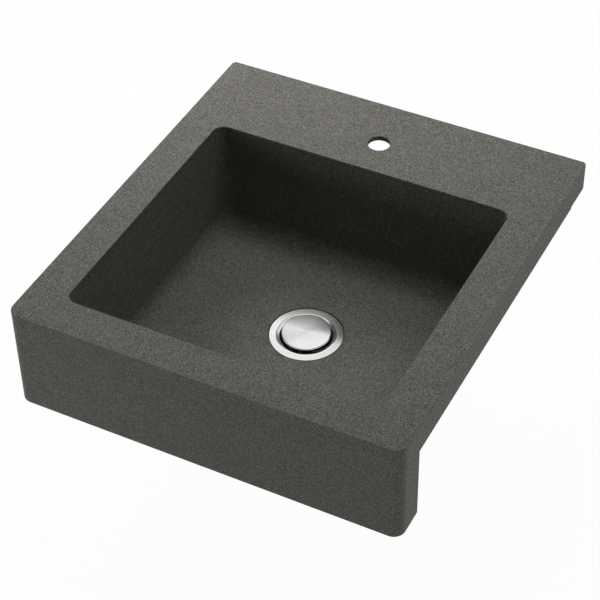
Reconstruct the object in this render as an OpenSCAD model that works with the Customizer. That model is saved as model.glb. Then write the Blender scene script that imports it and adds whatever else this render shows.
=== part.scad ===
// Apron-front sink moulded in stone composite, with its push-to-close waste fitting.
// Origin: middle of the deck's back edge, on the plane that the turned-down edge stands on.
// X runs across the sink, Y towards the wall, Z up. Lengths are in millimetres.

/* [Deck and apron] */
// Width of the deck
deck_w = 610; // [600:5:720]
// Depth of the deck, from the front to the wall
deck_d = 671; // [660:1:740]
// Height of the deck's turned-down edge
deck_h = 48; // [40:1:60]
// Thickness of the deck's skin
skin_t = 8; // [6:0.5:12]
// Thickness of the turned-down edge and of the apron
edge_t = 10; // [8:0.5:14]
// Height of the apron, from the top of the deck
apron_h = 170; // [130:5:200]
// Depth of the apron's returns at its two ends
apron_d = 56; // [44:1:60]
// Radius of the two front corners
front_r = 18; // [14:1:26]
// Radius of the two back corners
back_r = 7; // [4:1:10]
// Length of the reliefs under the two rear corners, along the sides
relief_l = 57; // [40:1:80]
// Height of the reliefs under the two rear corners
relief_h = 2.7; // [1:0.1:4]
// Thickness of the ribs under the deck
rib_t = 7; // [5:0.5:10]
// Distance of the front and back ribs from the middle
rib_x = 165; // [140:5:200]

/* [Bowl] */
// Width of the bowl's opening
bowl_w = 492; // [440:2:500]
// Depth of the bowl's opening, front to back
bowl_d = 451; // [430:1:460]
// Width of the rim in front of the bowl
rim_front = 60; // [54:1:70]
// Height from the top of the deck down to the bowl's floor at the drain
bowl_h = 190; // [160:1:220]
// Fall of the floor from the walls to the drain
floor_fall = 4; // [1:0.5:8]
// Lean of each wall over the bowl's height
bowl_draft = 5; // [1:0.5:10]
// Corner radius of the opening
bowl_r = 17.5; // [12:0.5:26]
// Radius between the walls and the floor
floor_r = 28; // [20:1:36]
// Thickness of the bowl's walls and floor
wall_t = 9; // [7:0.5:12]
// Thickness of the clamping pad round the drain
pad_t = 14; // [12:0.5:18]
// Width of the clamping pad outside the flange
pad_margin = 12; // [8:1:20]

/* [Holes] */
// Diameter of the tap hole
tap_hole_d = 35; // [32:0.5:38]
// Distance of the tap hole's axis from the bowl's opening
tap_gap = 66; // [45:1:80]
// Distance of the drain's axis from the front
drain_y = 323; // [290:1:350]
// Diameter of the hole for the drain
drain_hole_d = 93; // [92.5:0.5:98]

/* [Drain body] */
// Outer diameter of the flange
flange_d = 114; // [110:1:120]
// Thickness of the flange at its edge
flange_t = 1.6; // [1.2:0.1:2.2]
// Height of the flange's edge above the floor
flange_proud = 0.6; // [0.2:0.1:1]
// Height of the mouth's rim above the flange's edge
mouth_rise = 0.8; // [0.4:0.1:1.6]
// Inner diameter of the mouth
mouth_d = 89; // [88.5:0.1:89.5]
// Depth of the mouth's upright wall
mouth_h = 6; // [5.5:0.1:6.4]
// Height of the cone that the stopper closes on
seat_h = 5.5; // [5.3:0.1:6]
// Bore of the body below the seat
body_bore_d = 72; // [70:0.5:73]
// Outer diameter of the body's thread
body_thread_d = 84; // [82:0.5:88]
// Depth of the body, from the flange to its floor
body_h = 52; // [50:1:60]
// Thickness of the body's floor
body_floor_t = 2.5; // [2:0.1:4]
// Fall of the body's floor to the outlet
body_fall = 3; // [1:0.5:5]
// Outer diameter of the outlet's thread
neck_d = 47; // [46:0.5:52]
// Bore of the outlet
neck_bore_d = 39; // [36:0.5:41]
// Length of the outlet
neck_h = 16; // [14:1:22]
// Pitch of the body's thread
body_pitch = 3.2; // [2.5:0.1:4]
// Pitch of the outlet's thread
neck_pitch = 2.2; // [1.8:0.1:3]
// Depth of both threads
thread_depth = 1; // [0.6:0.1:1.2]
// Wall left round the mouth's upright wall
mouth_t = 1.2; // [1:0.1:1.6]

/* [Strainer plate] */
// Thickness of the strainer plate
plate_t = 2.5; // [1.5:0.1:4]
// Depth of the plate's top below the flange
plate_z = 38.5; // [37.5:0.5:42]
// Width of the ledge that carries the plate
ledge_w = 2.5; // [1.5:0.1:3.5]
// Number of slots through the plate
slot_n = 10; // [6:1:12]
// Width of each slot
slot_w = 6; // [4:0.5:7]
// Outer diameter of the plate's hub
hub_d = 20; // [18:0.5:24]
// Height of the hub above the plate
hub_rise = 3; // [1:0.5:5]

/* [Seals, nuts and tailpiece] */
// Thickness of the seal under the flange
flange_seal_t = 1.5; // [1:0.1:2.5]
// Thickness of the rubber washer under the bowl
under_washer_t = 5; // [3:0.5:7]
// Thickness of the fibre washer
fibre_washer_t = 1; // [0.6:0.1:2]
// Height of the lock nut
lock_nut_h = 13; // [10:0.5:15]
// Outer diameter of the lock nut
lock_nut_d = 108; // [100:1:116]
// Number of grip lugs on the lock nut
lug_n = 8; // [4:1:10]
// Outer diameter of the tailpiece
tail_d = 38.1; // [34:0.1:40]
// Length of the tailpiece
tail_l = 102; // [60:1:160]
// Wall of the tailpiece
tail_t = 1.6; // [1:0.1:2.4]
// Thickness of the tailpiece's flange
tail_flange_t = 2; // [1.5:0.1:3]
// Height of the thicker collar under the tailpiece's flange
tail_collar_h = 6; // [4:0.5:10]
// Thickness that the collar adds to the tailpiece
tail_collar_t = 0.6; // [0.3:0.1:1.2]
// Thickness of the washer between outlet and tailpiece
tail_washer_t = 2; // [1:0.1:3]
// Outer diameter of the coupling nut
tail_nut_d = 58; // [56:0.5:64]
// Number of grip ribs on the coupling nut
grip_n = 16; // [8:1:24]

/* [Stopper] */
// Diameter of the stopper's cap
cap_d = 76.6; // [75.6:0.1:77.6]
// Height of the cap's edge above the flange, stopper raised
cap_lift = 5.3; // [5:0.1:6.5]
// Rise of the cap's crown above its edge
cap_crown = 2.2; // [1:0.1:3.5]
// Depth of the cap's turned-down edge
cap_skirt = 2.8; // [2:0.1:3]
// Thickness of the cap's sheet
cap_t = 1.2; // [0.8:0.1:1.4]
// Travel of the stopper, fully pressed
travel = 9.5; // [8:0.1:9.5]
// Width of the stopper's seal
seal_w = 12; // [8:0.5:16]
// Thickness of the plate that holds the seal
keeper_t = 1.2; // [0.8:0.1:1.6]
// Width of the seal's edge outside the keeper plate
keeper_inset = 4; // [3:0.5:6]
// Diameter of the stem's thread
stem_d = 6; // [5:0.5:6.5]
// Width across the flats of the stem's nut
stem_nut_af = 10; // [9:0.5:13]
// Height of the stem's nut
stem_nut_h = 2.5; // [2:0.1:3]

/* [Push lock] */
// Outer diameter of the lock's barrel
barrel_d = 16; // [15:0.5:17]
// Diameter of the barrel's lower thread
barrel_thread_d = 14; // [13.5:0.1:15]
// Bore of the barrel
barrel_bore_d = 11; // [10.5:0.1:11.4]
// Depth of the barrel's top below the flange
barrel_z = 15.5; // [15:0.5:17]
// Thickness of the barrel's top wall
barrel_top_t = 3; // [2.6:0.1:4]
// Height of the barrel's six-sided collar
collar_h = 3; // [2:0.5:5]
// Width across the flats of the collar
collar_af = 17; // [16.5:0.5:19]
// Thickness of the plug that closes the barrel
plug_t = 2.5; // [2:0.1:4]
// Diameter of the plunger's shaft
plunger_d = 8.1; // [7.9:0.1:8.5]
// Height of the plunger's ribbed crown
crown_h = 5.7; // [5:0.1:6.5]
// Height of the plunger's cam teeth
tooth_h = 0.9; // [0.5:0.1:1.2]
// Height of the turning cam
rotor_h = 5.8; // [5:0.1:6.2]
// Number of guide slots in the barrel
guide_n = 4; // [3:1:4]
// Width of each guide slot, in degrees
slot_deg = 60; // [56:1:64]
// Width of the ribs on plunger and cam, in degrees
key_deg = 18; // [14:1:20]
// Turn of the cam over the stopper's travel, in degrees
turn_deg = 22.5; // [15:0.5:24]
// Section of the O-ring
o_ring_t = 1.2; // [1:0.1:1.3]

/* [Spring] */
// Wire of the spring
wire_d = 0.8; // [0.5:0.05:0.9]
// Curls of the spring
curls = 7; // [5:1:7]

/* [Clearances] */
// Between a running shaft and its hole, all round
run_gap = 0.08; // [0.03:0.01:0.1]
// Between a thread and its nut, all round
thread_gap = 0.1; // [0.05:0.01:0.2]
// Between a loose piece and its seat
seat_gap = 0.2; // [0.1:0.05:0.3]
// Between the flange and its recess, all round
recess_gap = 0.8; // [0.4:0.1:1.2]

/* [Hidden] */
$fn = 64;

// Distance that a cut runs past the face that it opens
past = 1;
// Distance that two merged shapes share
merge = 1;

// Heights in the sink's own frame
floor_z = deck_h - bowl_h;
ring_z = floor_z + flange_proud;
axis_y = drain_y - deck_d;
bowl_front = rim_front - deck_d;
bowl_back = bowl_front + bowl_d;
bowl_mid = (bowl_front + bowl_back) / 2;
bowl_foot_z = floor_z + floor_fall;

// Heights in the fitting's frame, from the flange's edge
recess_z = -flange_t - flange_seal_t;
pad_z = -flange_proud - pad_t;
under_washer_z = pad_z - under_washer_t;
fibre_washer_z = under_washer_z - fibre_washer_t;
lock_nut_z = fibre_washer_z - lock_nut_h;
seat_z = -mouth_h - seat_h;
ledge_z = -plate_z - plate_t;
neck_top_z = -body_h - body_fall;
neck_z = neck_top_z - neck_h;
tail_flange_top_z = neck_z - tail_washer_t;
tail_flange_z = tail_flange_top_z - tail_flange_t;
cap_skirt_z = cap_lift - cap_skirt;
seal_top_z = cap_lift - cap_t - seat_gap;
seal_bottom_z = seat_z + travel + seat_gap;
keeper_z = seal_bottom_z - keeper_t;
stem_nut_z = keeper_z - stem_nut_h;
barrel_top_z = -barrel_z;
barrel_roof_z = barrel_top_z - barrel_top_t;
hub_top_z = -plate_z + hub_rise;
crown_top_z = barrel_roof_z - seat_gap;
crown_z = crown_top_z - crown_h;
rotor_top_z = crown_z - tooth_h - seat_gap;
rotor_z = rotor_top_z - rotor_h;
guide_z = rotor_top_z - travel + merge;
spring_top_z = rotor_z - seat_gap;
barrel_z_low = -body_h;
plug_top_z = barrel_z_low + plug_t;
spring_z = plug_top_z + seat_gap;

// Radii of the fitting
body_r = body_thread_d / 2;
neck_r = neck_d / 2;
cap_r = cap_d / 2;
seal_r = cap_r - cap_t - seat_gap;
mouth_r = mouth_d / 2;
body_bore_r = body_bore_d / 2;
tail_r = tail_d / 2;
tail_flange_r = neck_r - thread_depth;
pad_r = flange_d / 2 + pad_margin;
plate_r = body_bore_r - seat_gap;
crown_r = sqrt(pow(cap_r, 2) + pow(cap_crown, 2));
dome_r = crown_r * crown_r / (2 * cap_crown);
plunger_r = plunger_d / 2;
barrel_bore_r = barrel_bore_d / 2;
guide_r = plunger_r + 3 * run_gap;
o_ring_r = plunger_r + run_gap / 2 + o_ring_t / 2;

// Spring: mean radius, rings round each curl and sides of the wire
spring_r = guide_r - wire_d / 2 - run_gap;
spring_rings = 8;
spring_sides = 6;
spring_rise = spring_top_z - spring_z - wire_d;
spring_points = [
    for (i = [0 : curls * spring_rings])
        let (t = i / spring_rings)
        [spring_r * cos(360 * t), spring_r * sin(360 * t), spring_z + wire_d / 2 + spring_rise * t / curls]
];
spring_least = min([
    for (i = [0 : len(spring_points) - 1 - spring_rings])
        norm(spring_points[i + spring_rings] - spring_points[i])
]) - wire_d;
echo(str("least gap between the spring's curls: ", spring_least, " mm"));

// An upright plate with four rounded corners, its lowest corner at [x, y]
module rounded_plate(x, y, w, d, r_front, r_back, h) {
    linear_extrude(h) {
        translate([x + r_front, y]) square([w - 2 * r_front, d / 2 + merge]);
        translate([x, y + r_front]) square([w, d / 2 - r_front + merge / 2]);
        translate([x + r_back, y + d / 2]) square([w - 2 * r_back, d / 2]);
        translate([x, y + d / 2]) square([w, d / 2 - r_back]);
        for (sx = [x + r_front, x + w - r_front]) translate([sx, y + r_front]) circle(r_front);
        for (sx = [x + r_back, x + w - r_back]) translate([sx, y + d - r_back]) circle(r_back);
    }
}

// A ring between two heights
module ring(r_out, r_in, z_low, z_high) {
    translate([0, 0, z_low]) difference() {
        cylinder(r = r_out, h = z_high - z_low);
        translate([0, 0, -past]) cylinder(r = r_in, h = z_high - z_low + 2 * past);
    }
}

// Points down the outside of a thread, from z_high to z_low
function thread_line(r, z_high, z_low, pitch) =
    let (n = floor((z_high - z_low) / pitch), z_end = z_high - n * pitch, flank = 0.35 * pitch)
    [
        for (i = [0 : n - 1])
            each [
                [r - thread_depth, z_high - i * pitch],
                [r, z_high - i * pitch - flank],
                [r, z_high - (i + 1) * pitch + flank]
            ],
        [r - thread_depth, z_end]
    ];

// The bowl's shape, grown by a wall, up to a height
module bowl_form(grow, z_top) {
    half_w = bowl_w / 2;
    half_d = bowl_d / 2;
    hull() {
        translate([0, bowl_mid, z_top]) for (sx = [-1, 1], sy = [-1, 1])
            translate([sx * (half_w - bowl_r), sy * (half_d - bowl_r), 0])
                cylinder(r = bowl_r + grow, h = merge, $fn = 48);
        translate([0, bowl_mid, bowl_foot_z + floor_r]) for (sx = [-1, 1], sy = [-1, 1])
            translate([
                sx * (half_w - bowl_draft - floor_r), sy * (half_d - bowl_draft - floor_r), 0
            ])
                sphere(r = floor_r + grow, $fn = 48);
        translate([0, axis_y, floor_z - grow])
            cylinder(r = flange_d / 2 + recess_gap + merge, h = merge, $fn = 48);
    }
}

// Ribs that tie the deck's skin to its edge and to the bowl
module deck_ribs() {
    rib_low = deck_h / 4;
    rib_h = deck_h - skin_t + merge - rib_low;
    side_w = (deck_w - bowl_w) / 2;
    for (sx = [-1, 1]) {
        translate([sx * rib_x - rib_t / 2, bowl_back, rib_low])
            cube([rib_t, -bowl_back - edge_t + merge, rib_h]);
        translate([sx * rib_x - rib_t / 2, -deck_d + edge_t - merge, rib_low])
            cube([rib_t, rim_front - edge_t, rib_h]);
        for (sy = [-1, 1])
            translate([
                sx * (bowl_w + side_w - edge_t + merge) / 2 - (side_w - edge_t + merge) / 2,
                bowl_mid + sy * bowl_d / 4 - rib_t / 2, rib_low
            ])
                cube([side_w - edge_t + merge, rib_t, rib_h]);
    }
}

module basin() {
    low_z = deck_h - apron_h;
    inner_r = max(front_r - edge_t, merge);
    color("dimgray") difference() {
        union() {
            difference() {
                union() {
                    rounded_plate(-deck_w / 2, -deck_d, deck_w, deck_d, front_r, back_r, deck_h);
                    intersection() {
                        translate([0, 0, low_z])
                            rounded_plate(
                                -deck_w / 2, -deck_d, deck_w, deck_d, front_r, back_r, apron_h - merge
                            );
                        translate([-deck_w, -deck_d - past, low_z - past])
                            cube([2 * deck_w, apron_d + past, apron_h]);
                    }
                }
                translate([0, 0, low_z - past])
                    rounded_plate(
                        edge_t - deck_w / 2, edge_t - deck_d, deck_w - 2 * edge_t, deck_d - 2 * edge_t,
                        inner_r, merge, apron_h - skin_t + past
                    );
            }
            deck_ribs();
            bowl_form(wall_t, deck_h - skin_t);
            translate([0, axis_y, ring_z + pad_z])
                cylinder(r = pad_r, h = pad_t - wall_t + merge);
        }
        bowl_form(0, deck_h);
        translate([0, axis_y, ring_z + recess_z])
            cylinder(r = flange_d / 2 + recess_gap, h = flange_proud - recess_z + merge);
        translate([0, axis_y, ring_z + pad_z - past])
            cylinder(d = drain_hole_d, h = pad_t + 2 * past);
        translate([0, bowl_back + tap_gap, deck_h - skin_t - past])
            cylinder(d = tap_hole_d, h = skin_t + 2 * past);
        for (sx = [-1, 1]) translate([sx * deck_w / 2 - relief_l, -relief_l, -past])
            cube([2 * relief_l, relief_l + past, relief_h + past]);
    }
}

// Places a piece of the fitting on the drain's axis, at the height of the flange's edge
module at_drain() {
    translate([0, axis_y, ring_z]) children();
}

module drain_body() {
    rim_w = 1.1;
    rim_edge = 0.25;
    shoulder_r = mouth_r + mouth_t;
    shoulder_z = -mouth_h - seat_h / 2;
    thread_top_z = seat_z - thread_depth;
    core_r = body_r - thread_depth;
    outer_floor_z = -body_h - body_floor_t;
    neck_shoulder_z = neck_top_z - body_floor_t;
    color("silver") at_drain() rotate_extrude() polygon(concat(
        [
            [flange_d / 2, 0],
            [flange_d / 2, -flange_t],
            [shoulder_r, -flange_t],
            [shoulder_r, shoulder_z]
        ],
        thread_line(body_r, thread_top_z, -body_h + 2 * body_floor_t, body_pitch),
        [
            [core_r, outer_floor_z],
            [neck_r - thread_depth, neck_shoulder_z]
        ],
        thread_line(neck_r, neck_shoulder_z - thread_depth, neck_z, neck_pitch),
        [
            [neck_r - thread_depth, neck_z],
            [neck_bore_d / 2, neck_z],
            [neck_bore_d / 2, neck_top_z],
            [body_bore_r - ledge_w, -body_h],
            [body_bore_r - ledge_w, ledge_z],
            [body_bore_r, ledge_z],
            [body_bore_r, seat_z],
            [mouth_r, -mouth_h],
            [mouth_r, mouth_rise - rim_edge],
            [mouth_r + rim_w / 3, mouth_rise],
            [mouth_r + rim_w, mouth_rise],
            [mouth_r + 1.5 * rim_w, mouth_rise - rim_edge]
        ]
    ));
}

module strainer_plate() {
    web = 2.5;
    slot_in = hub_d / 2 + slot_w / 2 + web;
    slot_out = plate_r - slot_w / 2 - web;
    color("silver") at_drain() difference() {
        union() {
            translate([0, 0, ledge_z]) cylinder(r = plate_r, h = plate_t);
            translate([0, 0, plug_top_z]) cylinder(d = hub_d, h = hub_top_z - plug_top_z);
        }
        for (i = [0 : slot_n - 1]) rotate(360 * i / slot_n) translate([0, 0, ledge_z - past])
            linear_extrude(plate_t + 2 * past) {
                for (x = [slot_in, slot_out]) translate([x, 0]) circle(d = slot_w);
                translate([slot_in, -slot_w / 2]) square([slot_out - slot_in, slot_w]);
            }
        translate([0, 0, barrel_z_low - past])
            cylinder(d = barrel_thread_d + 2 * thread_gap, h = body_h + past);
    }
}

module flange_seal() {
    color("black") at_drain()
        ring(flange_d / 2 - seat_gap, drain_hole_d / 2 + seat_gap, recess_z, -flange_t);
}

module under_washer() {
    color("black") at_drain()
        ring(lock_nut_d / 2, body_r + thread_gap, under_washer_z, pad_z);
}

module fibre_washer() {
    color("tan") at_drain()
        ring(lock_nut_d / 2 - 2 * seat_gap, body_r + thread_gap, fibre_washer_z, under_washer_z);
}

module lock_nut() {
    lug_w = 12;
    lug_t = 5;
    rim_h = 4;
    barrel_r = (lock_nut_d / 2 + body_r) / 2;
    lug_in = (barrel_r + body_r) / 2;
    color("lightgray") at_drain() difference() {
        union() {
            translate([0, 0, fibre_washer_z - rim_h]) cylinder(d = lock_nut_d, h = rim_h);
            translate([0, 0, lock_nut_z]) cylinder(r = barrel_r, h = lock_nut_h - merge);
            for (i = [0 : lug_n - 1]) rotate(360 * i / lug_n)
                translate([lug_in, -lug_w / 2, lock_nut_z])
                    cube([lock_nut_d / 2 - lug_in + lug_t / 2, lug_w, lock_nut_h - merge]);
        }
        translate([0, 0, lock_nut_z - past])
            cylinder(r = body_r + thread_gap, h = lock_nut_h + 2 * past);
    }
}

module tail_washer() {
    color("white") at_drain()
        ring(tail_flange_r, tail_r + seat_gap - tail_t, tail_flange_top_z, neck_z);
}

module tail_nut() {
    grip_d = 4;
    shoulder_t = 3;
    plain_h = 2;
    cover = 0.6;
    core_r = (tail_nut_d - grip_d) / 2;
    top_z = neck_z + neck_h * cover;
    low_z = tail_flange_z - shoulder_t;
    color("whitesmoke") at_drain() difference() {
        union() {
            translate([0, 0, low_z]) cylinder(r = core_r, h = top_z - low_z);
            for (i = [0 : grip_n - 1]) rotate(360 * i / grip_n)
                translate([core_r, 0, low_z]) cylinder(d = grip_d, h = top_z - low_z - plain_h);
        }
        translate([0, 0, tail_flange_z])
            cylinder(r = neck_r + thread_gap, h = top_z - tail_flange_z + past);
        translate([0, 0, low_z - past])
            cylinder(r = tail_r + tail_collar_t + thread_gap, h = shoulder_t + 2 * past);
    }
}

module tailpiece() {
    color("whitesmoke") at_drain() difference() {
        union() {
            translate([0, 0, tail_flange_z]) cylinder(r = tail_flange_r, h = tail_flange_t);
            translate([0, 0, tail_flange_z - tail_collar_h])
                cylinder(r = tail_r + tail_collar_t, h = tail_collar_h + merge);
            translate([0, 0, tail_flange_top_z - tail_l]) cylinder(r = tail_r, h = tail_l - merge);
        }
        translate([0, 0, tail_flange_top_z - tail_l - past])
            cylinder(r = tail_r - tail_t, h = tail_l + 2 * past);
    }
}

// The dome under the cap's sheet, dropped by a distance
module dome(drop, r, low) {
    intersection() {
        translate([0, 0, low]) cylinder(r = r, h = cap_lift + cap_crown - low + past);
        translate([0, 0, cap_lift + cap_crown - dome_r - drop]) sphere(r = dome_r, $fn = 96);
    }
}

module stopper_cap() {
    boss_t = 4;
    color("gainsboro") at_drain() difference() {
        union() {
            difference() {
                dome(0, cap_r, cap_skirt_z);
                dome(cap_t, cap_r - cap_t, cap_skirt_z - past);
            }
            intersection() {
                translate([0, 0, seal_bottom_z])
                    cylinder(r = stem_d / 2 + boss_t, h = cap_lift + cap_crown - seal_bottom_z);
                dome(cap_t / 2, cap_r, seal_bottom_z - past);
            }
        }
        translate([0, 0, seal_bottom_z - past])
            cylinder(r = stem_d / 2 + thread_gap, h = cap_lift - seal_bottom_z);
    }
}

module stopper_seal() {
    lip = 1;
    color("black") at_drain() rotate_extrude() polygon([
        [seal_r - seal_w, seal_top_z],
        [seal_r - seal_w, seal_bottom_z],
        [seal_r - lip, seal_bottom_z],
        [seal_r, seal_bottom_z + lip],
        [seal_r, seal_top_z]
    ]);
}

module seal_keeper() {
    color("silver") at_drain()
        ring(seal_r - keeper_inset, stem_d / 2 + thread_gap, keeper_z, seal_bottom_z);
}

module stopper_stem() {
    color("silver") at_drain()
        translate([0, 0, crown_top_z]) cylinder(d = stem_d, h = cap_lift - merge - seat_gap - crown_top_z);
}

module stem_nut() {
    color("silver") at_drain() translate([0, 0, stem_nut_z]) difference() {
        cylinder(d = stem_nut_af / cos(30), h = stem_nut_h, $fn = 6);
        translate([0, 0, -past]) cylinder(r = stem_d / 2 + thread_gap, h = stem_nut_h + 2 * past);
    }
}

// Sectors between two radii, one for each guide slot
module keys(r_in, r_out, width, z_low, z_high) {
    for (i = [0 : guide_n - 1]) rotate(360 * i / guide_n - width / 2)
        translate([0, 0, z_low]) rotate_extrude(angle = width)
            translate([r_in, 0]) square([r_out - r_in, z_high - z_low]);
}

module lock_barrel() {
    groove_z = barrel_top_z - (barrel_top_t + o_ring_t) / 2;
    rib_deg = 360 / guide_n - slot_deg;
    color("goldenrod") at_drain() {
        difference() {
            union() {
                translate([0, 0, hub_top_z]) cylinder(d = barrel_d, h = barrel_top_z - hub_top_z);
                translate([0, 0, hub_top_z]) cylinder(d = collar_af / cos(30), h = collar_h, $fn = 6);
                translate([0, 0, barrel_z_low])
                    cylinder(d = barrel_thread_d, h = hub_top_z - barrel_z_low + merge);
            }
            translate([0, 0, barrel_z_low - past])
                cylinder(r = barrel_bore_r, h = barrel_roof_z - barrel_z_low + past);
            translate([0, 0, barrel_roof_z - past])
                cylinder(r = plunger_r + run_gap, h = barrel_top_t + 2 * past);
            translate([0, 0, groove_z - seat_gap / 2])
                cylinder(r = o_ring_r + o_ring_t / 2 + run_gap, h = o_ring_t + seat_gap);
        }
        rotate(180 / guide_n)
            keys(guide_r, barrel_bore_r + merge / 2, rib_deg, guide_z, barrel_roof_z + merge / 2);
    }
}

module lock_plunger() {
    key_r = barrel_bore_r - run_gap;
    tooth_in = plunger_r / 2;
    tooth_w = 0.6;
    tooth = [[-merge, -tooth_w], [0, -tooth_w], [tooth_h, 0], [0, tooth_w], [-merge, tooth_w]];
    color("ivory") at_drain() difference() {
        union() {
            translate([0, 0, crown_z]) rotate(180 / guide_n)
                cylinder(r = plunger_r, h = stem_nut_z - seat_gap - crown_z);
            keys(plunger_r - merge / 2, key_r, key_deg, crown_z + seat_gap, crown_top_z);
            for (i = [0 : 2 * guide_n - 1]) rotate(180 * i / guide_n)
                translate([tooth_in, 0, crown_z]) rotate([0, 90, 0])
                    linear_extrude(plunger_r - tooth_in - merge / 4) polygon(tooth);
        }
        translate([0, 0, crown_top_z - seat_gap])
            cylinder(r = stem_d / 2 + run_gap, h = stem_nut_z - crown_top_z + seat_gap + past);
    }
}

module lock_rotor() {
    key_r = barrel_bore_r - run_gap;
    color("ivory") at_drain() difference() {
        union() {
            translate([0, 0, rotor_z]) cylinder(r = plunger_r, h = rotor_h);
            rotate(-turn_deg / 2) keys(plunger_r - merge, key_r, key_deg, rotor_z, rotor_top_z);
        }
        translate([0, 0, rotor_z - past]) cylinder(r = plunger_r / 2, h = rotor_h / 2 + past);
    }
}

// A round wire along the curls, closed at both ends
module lock_spring() {
    n = len(spring_points);
    rings = [
        for (i = [0 : n - 1])
            let (a = 360 * i / spring_rings, c = spring_points[i], out = [cos(a), sin(a), 0])
            for (k = [0 : spring_sides - 1])
                let (b = 360 * k / spring_sides)
                c + wire_d / 2 * (cos(b) * out + sin(b) * [0, 0, 1])
    ];
    sides = [
        for (i = [0 : n - 2], k = [0 : spring_sides - 1])
            let (
                a = i * spring_sides + k,
                b = i * spring_sides + (k + 1) % spring_sides,
                c = a + spring_sides,
                d = b + spring_sides
            )
            each [[a, b, d], [a, d, c]]
    ];
    ends = [
        for (k = [1 : spring_sides - 2])
            each [
                [0, k + 1, k],
                [(n - 1) * spring_sides, (n - 1) * spring_sides + k, (n - 1) * spring_sides + k + 1]
            ]
    ];
    color("lightsteelblue") at_drain() polyhedron(points = rings, faces = concat(sides, ends));
}

module lock_plug() {
    color("goldenrod") at_drain()
        translate([0, 0, barrel_z_low]) cylinder(r = barrel_bore_r - thread_gap / 2, h = plug_t);
}

module o_ring() {
    groove_z = barrel_top_z - (barrel_top_t + o_ring_t) / 2;
    color("black") at_drain() translate([0, 0, groove_z + o_ring_t / 2])
        rotate_extrude() translate([o_ring_r + run_gap / 2, 0]) circle(d = o_ring_t, $fn = 24);
}

basin();
drain_body();
strainer_plate();
flange_seal();
under_washer();
fibre_washer();
lock_nut();
tail_washer();
tail_nut();
tailpiece();
stopper_cap();
stopper_seal();
seal_keeper();
stopper_stem();
stem_nut();
lock_barrel();
lock_plunger();
lock_rotor();
lock_spring();
lock_plug();
o_ring();
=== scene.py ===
"""Looks of an apron-front sink in speckled stone composite, with its push-to-close waste."""

import logging
import math
from contextlib import contextmanager
from dataclasses import astuple, dataclass
from enum import Enum
from typing import Callable, Iterator, Sequence

import bmesh
import bpy
from mathutils import Matrix, Vector


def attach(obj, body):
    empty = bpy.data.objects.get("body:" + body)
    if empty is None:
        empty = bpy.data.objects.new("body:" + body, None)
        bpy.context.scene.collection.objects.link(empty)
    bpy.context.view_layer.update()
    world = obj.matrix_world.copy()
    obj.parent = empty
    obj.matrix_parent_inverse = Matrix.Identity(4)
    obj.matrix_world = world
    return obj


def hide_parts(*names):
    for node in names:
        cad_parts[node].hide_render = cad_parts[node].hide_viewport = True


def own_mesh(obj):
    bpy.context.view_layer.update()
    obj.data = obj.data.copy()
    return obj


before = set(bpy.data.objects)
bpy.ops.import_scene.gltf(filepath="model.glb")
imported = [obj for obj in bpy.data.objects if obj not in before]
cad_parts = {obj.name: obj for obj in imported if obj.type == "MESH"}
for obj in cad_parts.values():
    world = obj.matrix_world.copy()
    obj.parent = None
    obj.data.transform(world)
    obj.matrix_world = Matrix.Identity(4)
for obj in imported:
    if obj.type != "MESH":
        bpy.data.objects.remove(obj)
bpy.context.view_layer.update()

log = logging.getLogger("sink")

Piece = bpy.types.Object
Place = tuple[float, float, float]
Outline = list[tuple[float, float]]

MM = 0.001
NEAR = 0.02 * MM  # corners closer than this are in one place
DRAIN_Y, RING_Z = -348.0, -141.4  # the drain's axis and its ring's top, in millimetres
DRAIN = Vector((0, DRAIN_Y, RING_Z)) * MM
UP = (0.0, 0.0, 1.0)
WHITE = (1, 1, 1, 1)
NOISE = (0.3, 0.7)  # the range that holds nearly all of a noise


class Part(Enum):
    """What is selected in edit mode."""

    VERT = "verts"
    EDGE = "edges"
    FACE = "faces"


class Merge(Enum):
    """How one mesh meets another."""

    ADD = "UNION"
    CUT = "DIFFERENCE"
    KEEP = "INTERSECT"


def show_only(piece: Piece) -> None:
    """Makes one object the active and only selected one."""
    bpy.ops.object.select_all(action="DESELECT")
    piece.select_set(True)
    bpy.context.view_layer.objects.active = piece


@contextmanager
def editing(piece: Piece, action: str = "DESELECT") -> Iterator[None]:
    """Opens a piece in edit mode, and closes it again.

    Args:
        piece: the object.
        action: DESELECT to start with nothing selected, SELECT to start with everything.
    """
    show_only(piece)
    bpy.ops.object.mode_set(mode="EDIT")
    bpy.ops.mesh.select_mode(type="VERT")
    bpy.ops.mesh.select_all(action=action)
    yield
    bpy.ops.object.mode_set(mode="OBJECT")


def pick(piece: Piece, part: Part, test: Callable[[Vector], bool]) -> int:
    """Selects the elements of a piece in edit mode whose corners all pass a test.

    Args:
        piece: the object in edit mode.
        part: which elements are selected.
        test: tells of a corner's place whether it counts.

    Returns:
        The number of elements that are selected.
    """
    bpy.ops.mesh.select_mode(type=part.name)
    bpy.ops.mesh.select_all(action="DESELECT")
    mesh = bmesh.from_edit_mesh(piece.data)
    found = 0
    for element in getattr(mesh, part.value):
        corners = [element] if part is Part.VERT else element.verts
        if all(test(corner.co) for corner in corners):
            element.select_set(True)
            found += 1
    mesh.select_flush_mode()
    bmesh.update_edit_mesh(piece.data)
    return found


def start(name: str) -> Piece:
    """Adds an empty mesh at the origin.

    Args:
        name: the new object's name.

    Returns:
        The object.
    """
    bpy.ops.object.select_all(action="DESELECT")
    bpy.ops.mesh.primitive_plane_add(size=MM, location=(0, 0, 0))
    piece = bpy.context.object
    piece.name = piece.data.name = name
    with editing(piece, "SELECT"):
        bpy.ops.mesh.delete(type="VERT")
    return piece


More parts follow.
